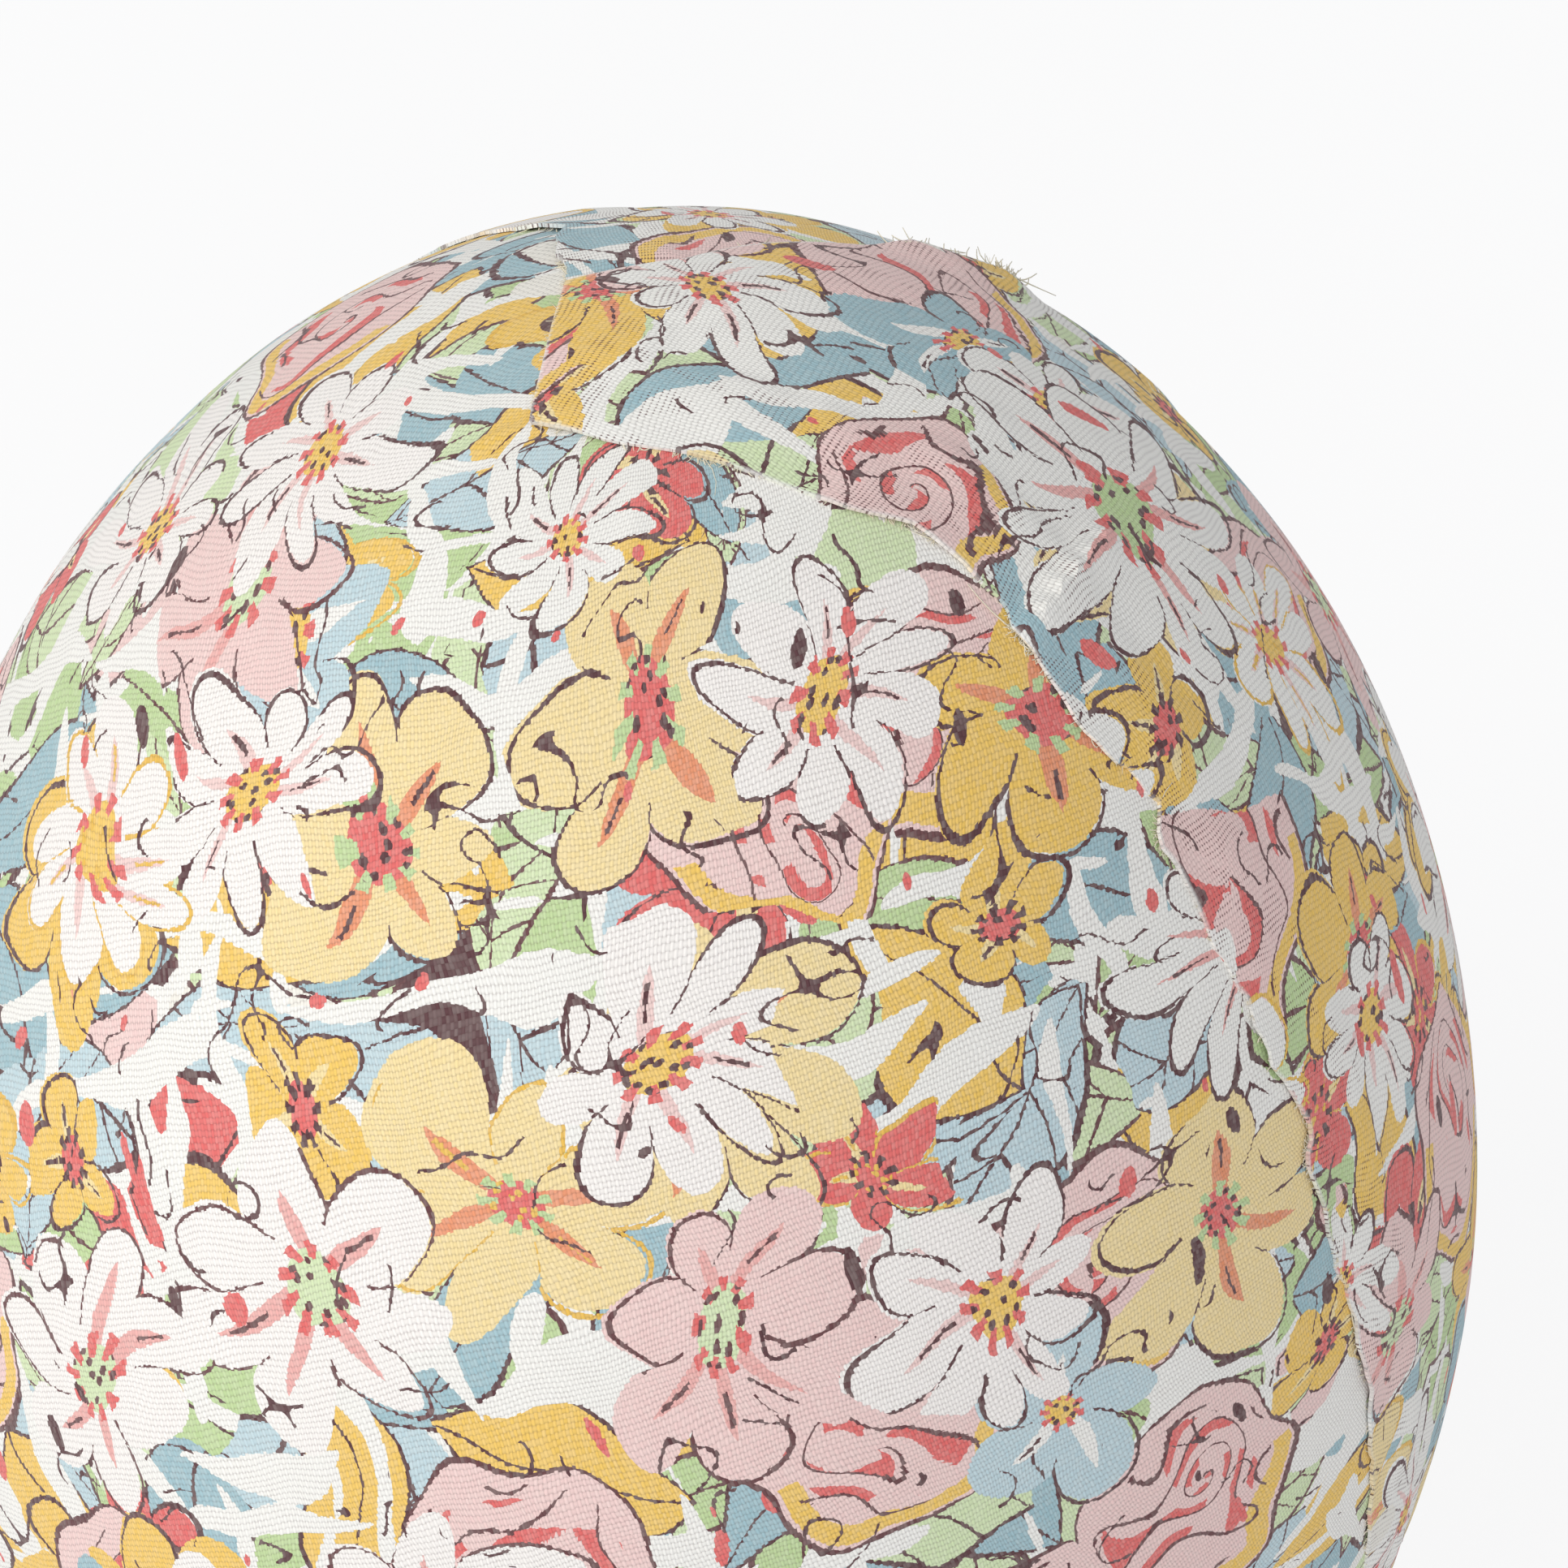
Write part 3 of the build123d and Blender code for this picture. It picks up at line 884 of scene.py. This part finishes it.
def lawn_material():
    """Plain-woven cotton lawn, pigment-printed from screens: matt, with fine round threads, painted
    shade in their hollows and in the small holes between them, a print that is stepped by the threads,
    and pale frayed cut edges."""
    material = bpy.data.materials.new("printed_cotton_lawn")
    t = bare_nodes(material)
    u, v, edge = put(t, SPLIT, put(t, "ShaderNodeAttribute", out=1, attribute_name="cut")).node.outputs
    place = put(t, JOIN, u, v, 0.0)
    # the threads wave a little, so that the weave isn't a ruled grid
    woven = put(t, VECTOR, place, noise_vector(t, place, 0.13, 2, 0.5, 1.6), operation="ADD")
    woven_u, woven_v, _ = put(t, SPLIT, woven).node.outputs
    across_warp = put(t, "MULTIPLY", woven_u, 1 / warp_pitch)
    across_weft = put(t, "MULTIPLY", woven_v, 1 / weft_pitch)
    warp_number, weft_number = put(t, "FLOOR", across_warp), put(t, "FLOOR", across_weft)
    warp_over = put(t, "FLOORED_MODULO", put(t, "ADD", warp_number, weft_number), 2.0)
    warp_round = put(t, "SINE", put(t, "MULTIPLY", put(t, "FRACT", across_warp), math.pi))
    weft_round = put(t, "SINE", put(t, "MULTIPLY", put(t, "FRACT", across_weft), math.pi))
    warp_height = put(t, "MULTIPLY", warp_round, put(t, "MULTIPLY_ADD", weft_round, 0.3, 0.7))
    weft_height = put(t, "MULTIPLY", weft_round, put(t, "MULTIPLY_ADD", warp_round, 0.3, 0.7))
    thread_height = put(t, MIX, warp_over, weft_height, warp_height)
    hole_chance = put(t, NOISE, place, None, 0.9, 1, 0.6, noise_dimensions="2D")
    hole_size = put(t, "MULTIPLY_ADD", hole_chance, 0.9, 0.3)
    gap = put(t, "LESS_THAN", put(t, "ADD", warp_round, weft_round), hole_size)
    # the print steps from thread to thread
    cell = put(t, JOIN, warp_number, weft_number, 0.0)
    cell_chance = put(t, "ShaderNodeTexWhiteNoise", cell, out=1, noise_dimensions="2D")
    jitter = put(t, VECTOR, cell_chance, (0.5, 0.5, 0.5), operation="SUBTRACT")
    jitter = put(t, VECTOR, jitter, (0.09, 0.09, 0), operation="MULTIPLY")
    stepped = put(t, VECTOR, cell, (warp_pitch, weft_pitch, 0), operation="MULTIPLY")
    stepped = put(t, VECTOR, stepped, woven, operation="SUBTRACT")
    stepped = put(t, VECTOR, stepped, (0.3, 0.3, 0), operation="MULTIPLY")
    cell_place = put(t, VECTOR, place, stepped, operation="ADD")
    cell_place = put(t, VECTOR, cell_place, jitter, operation="ADD")
    # the artist's hand: lines wobble and the pen skips
    hand = noise_vector(t, cell_place, 0.12, 0.6, 0.4, 4.6)
    drawn = put(t, VECTOR, cell_place, hand, operation="ADD")
    breaks = put(t, NOISE, place, None, 0.22, 0, 0.5, noise_dimensions="2D")
    # the ground, with bare cotton and broken ink lines between its patches
    patches = (drawn, None, 1 / patch_size, 0, *unset, 0.95)
    patch_chance = put(t, CHANNELS, put(t, VORONOI, *patches, out=1, voronoi_dimensions="2D"))
    ramp = t.nodes.new("ShaderNodeValToRGB")
    ramp.color_ramp.interpolation = "CONSTANT"
    t.links.new(patch_chance, ramp.inputs[0])
    while len(ramp.color_ramp.elements) < len(ground):
        ramp.color_ramp.elements.new(0.5)
    for element, (start, shade) in zip(ramp.color_ramp.elements, ground):
        element.position = start
        element.color = shade
    to_border = put(t, VORONOI, *patches, voronoi_dimensions="2D", feature="DISTANCE_TO_EDGE")
    unprinted = put(t, "LESS_THAN", to_border, put(t, "MULTIPLY_ADD", breaks, 0.16, -0.02))
    colour = put(t, MIX, unprinted, ramp.outputs[0], white)
    patch_line = put(t, "ABSOLUTE", put(t, "SUBTRACT", to_border, 0.085))
    patch_line = put(t, "LESS_THAN", patch_line, put(t, "MULTIPLY_ADD", breaks, 0.055, -0.012))
    lined = put(t, NOISE, place, None, 0.16, 0, 0.5, noise_dimensions="2D")
    lined = put(t, "GREATER_THAN", lined, 0.5)
    colour = put(t, MIX, put(t, "MULTIPLY", patch_line, lined), colour, plum)
    colour = print_layers(t, colour, drawn, breaks, leaf_layers)
    # a dry brush leaves bare cotton in long slivers, which lie two ways
    for stretch, least in (((0.11, 0.42, 1.0), 0.62), ((0.46, 0.12, 1.0), 0.64)):
        brush = put(t, VECTOR, drawn, stretch, operation="MULTIPLY")
        brush = put(t, NOISE, brush, None, 1.0, 0.3, 0.5, noise_dimensions="2D")
        colour = put(t, MIX, put(t, "GREATER_THAN", brush, least), colour, white)
    colour = print_layers(t, colour, drawn, breaks, flower_layers)
    # loose pen squiggles and brush dabs over everything
    scribble = put(t, NOISE, drawn, None, 0.36, 0, 0.5, noise_dimensions="2D")
    scribble = put(t, "LESS_THAN", put(t, "ABSOLUTE", put(t, "SUBTRACT", scribble, 0.5)), 0.021)
    here = put(t, NOISE, place, None, 0.24, 0, 0.5, noise_dimensions="2D")
    here = put(t, "GREATER_THAN", here, 0.63)
    colour = put(t, MIX, put(t, "MULTIPLY", scribble, here), colour, plum)
    long_dabs = put(t, VECTOR, drawn, (1.0, 0.5, 1.0), operation="MULTIPLY")
    dab = put(t, VORONOI, long_dabs, None, 1 / dab_size, 0, *unset, 1.0, voronoi_dimensions="2D")
    dab_1, dab_2, _ = put(t, CHANNELS, dab.node.outputs["Color"]).node.outputs
    dab_on = put(t, "LESS_THAN", dab, put(t, "MULTIPLY_ADD", dab_2, 0.10, 0.03))
    dab_on = put(t, "MULTIPLY", dab_on, put(t, "GREATER_THAN", dab_1, 0.55))
    dab_colour = put(t, MIX, put(t, "GREATER_THAN", dab_1, 0.8), coral, plum)
    colour = put(t, MIX, dab_on, colour, dab_colour)
    # a screen print is thin: the cotton greys and whitens it thread by thread
    strength = put(t, "MULTIPLY", put(t, CHANNELS, cell_chance, out=2), 0.14)
    colour = put(t, MIX, strength, colour, cream)
    # the cut edge shows white thread ends
    at_edge = put(t, MAP_RANGE, edge, 0.03, 0.26, 0.8, 0.0)
    at_edge = put(t, "MULTIPLY", at_edge, put(t, MAP_RANGE, breaks, 0.35, 0.6, 0.25, 1.0))
    colour = put(t, MIX, at_edge, colour, white)
    # painted shade: every hole between the threads is darkened a little towards brown; where one piece
    # laps another, random spots of holes are darkened more, for the lower print seen through them
    under_spots = put(t, NOISE, drawn, None, 0.35, 2, 0.6, noise_dimensions="2D")
    under_spots = put(t, "GREATER_THAN", under_spots, 0.54)
    lapped = put(t, "LESS_THAN", edge, 5.4)
    hole_shade_and_under_print = put(t, "MULTIPLY_ADD", put(t, "MULTIPLY", lapped, under_spots), 0.62, 0.20)
    colour = put(t, MIX, put(t, "MULTIPLY", gap, hole_shade_and_under_print), colour, brown)
    # painted shade: threads are painted darker in their hollows than on their tops, and the weft-over
    # cells a little darker than the warp-over ones
    shade = put(t, "MULTIPLY_ADD", thread_height, 0.17, 0.81)
    shade = put(t, "MULTIPLY_ADD", warp_over, 0.07, shade)
    shade = put(t, JOIN, shade, shade, shade)
    colour = put(t, MIX, 1.0, colour, shade, blend_type="MULTIPLY")
    shader = surface(t, colour, thread_height, 0.45, 0.06 * MM)
    # the threads' tops are pressed smoother than the hollows
    t.links.new(put(t, "MULTIPLY_ADD", thread_height, -0.1, 0.94), shader.inputs["Roughness"])
    shader.inputs["Sheen Weight"].default_value = 0.12
    shader.inputs["Sheen Roughness"].default_value = 0.45
    shader.inputs["Specular IOR Level"].default_value = 0.3
    return material


def matt_material(name, base, other, grains_per_mm, depth, roughness):
    """A matt mottled material: one noise at a real size makes both its colour and its relief."""
    material = bpy.data.materials.new(name)
    t = bare_nodes(material)
    place = put(t, "ShaderNodeTexCoord", out=3)
    place = put(t, VECTOR, place, (1 / MM, 1 / MM, 1 / MM), operation="MULTIPLY")
    grain = put(t, NOISE, place, None, grains_per_mm, 4, 0.65)
    shader = surface(t, put(t, MIX, grain, linear(base), linear(other)), grain, 0.7, depth * MM)
    shader.inputs["Roughness"].default_value = roughness
    return material


def give(obj, material):
    obj.data.materials.clear()
    obj.data.materials.append(material)


lawn = lawn_material()
for piece in (front_cloth, right_cloth, back_cloth):
    give(piece, lawn)
# Bleached cotton thread, spun: off-white, with a warm cast in the shaded fibres.
thread = matt_material("bleached_cotton_thread", "#F4F0E4", "#E9DCB8", 0.5, 0.01, 0.9)
for piece in (seam_threads, back_threads, tip_threads, left_threads):
    give(piece, thread)
# Wool felt, pressed: cream, quite matt, with clumps of fibre a half millimetre or so across.
give(felt_disc, matt_material("pressed_wool_felt", "#EDE7DA", "#CFC6B4", 1.6, 0.12, 0.95))
# Millboard, rolled from grey pulp: flecked, flat and dull.
millboard = matt_material("grey_millboard", "#B3AFA6", "#94908A", 2.2, 0.03, 0.85)
give(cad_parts["base_card"], millboard)
# Expanded polystyrene, moulded: white, with the beads' outlines about 2 mm apart.
bead_foam = matt_material("moulded_bead_foam", "#F4F3EF", "#E6E5E0", 0.5, 0.15, 0.7)
give(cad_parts["foam_core"], bead_foam)

# ---------------------------------------------------------------- floor, light and camera

def seen_directly(t):
    """1 for a ray that shows the background: straight from the camera, off gloss or through glass."""
    rays = put(t, "ShaderNodeLightPath").node.outputs
    seen = put(t, "MAXIMUM", rays["Is Camera Ray"], rays["Is Glossy Ray"])
    return put(t, "MAXIMUM", seen, rays["Is Transmission Ray"])


# The floor is a hair under the felt, so that the two don't flicker.
bpy.ops.object.select_all(action="DESELECT")
bpy.ops.mesh.primitive_plane_add(size=6, location=(0, 0, -0.05 * MM))
floor = bpy.context.object
floor.name = "pale_floor"
# White paper: matt, and partly glowing to the camera, so that it is white and keeps the shadow.
material = bpy.data.materials.new("pale_paper_floor")
t = bare_nodes(material)
matt = put(t, "ShaderNodeBsdfDiffuse", linear("#F4F4F6"))
bright = put(t, "ShaderNodeEmission", linear("#FFFFFF"), 1.0)
mixed = put(t, "ShaderNodeMixShader", put(t, "MULTIPLY", seen_directly(t), 0.86), matt, bright)
t.links.new(mixed, t.nodes.new("ShaderNodeOutputMaterial").inputs[0])
give(floor, material)

world = bpy.data.worlds.new("pale_room")
bpy.context.scene.world = world
t = bare_nodes(world)
room_light = put(t, "ShaderNodeBackground", linear("#F6F8FC"), 0.58)
room_seen = put(t, "ShaderNodeBackground", linear("#FDFDFE"), 1.0)
mixed = put(t, "ShaderNodeMixShader", seen_directly(t), room_light, room_seen)
t.links.new(mixed, t.nodes.new("ShaderNodeOutputWorld").inputs[0])

centre = Vector((0, 0, widest_height * MM))


def soft_lamp(name, place, size, power, tint):
    """A round lamp at a place from the egg's centre, facing it. Metres and watts."""
    data = bpy.data.lights.new(name, "AREA")
    data.shape = "DISK"
    data.size = size
    data.energy = power
    data.color = linear(tint)[:3]
    lamp = bpy.data.objects.new(name, data)
    bpy.context.scene.collection.objects.link(lamp)
    lamp.location = centre + Vector(place)
    lamp.rotation_euler = (-Vector(place)).to_track_quat("-Z", "Y").to_euler()


soft_lamp("window_left", (-0.85, -0.3, 0.75), 0.7, 5.3, "#FFFDF8")
soft_lamp("front_fill", (-0.1, -1.1, 0.9), 0.9, 4.2, "#FDFDFF")

# The camera looks down at the crown from the front, from far enough that the egg looks flat on.
elevation = math.radians(46)
distance = 0.5
view_width = 0.086  # across the view at the egg's centre
aim_right, aim_up = 5.2, 22.3  # millimetres from the egg's centre to the middle of the view
roll = math.radians(1.3)
film_width = 36
aim = centre + Vector((aim_right, aim_up * math.sin(elevation), aim_up * math.cos(elevation))) * MM
camera_data = bpy.data.cameras.new("camera")
camera_data.sensor_width = film_width
camera_data.lens = film_width * distance / view_width
camera_data.clip_start = 10 * MM
camera = bpy.data.objects.new("camera", camera_data)
bpy.context.scene.collection.objects.link(camera)
camera.location = aim + Vector((0, -math.cos(elevation), math.sin(elevation))) * distance
camera.rotation_euler = (aim - camera.location).to_track_quat("-Z", "Y").to_euler()
camera.rotation_euler.rotate_axis("Z", roll)
bpy.context.scene.camera = camera

bpy.context.scene.view_settings.view_transform = "Standard"
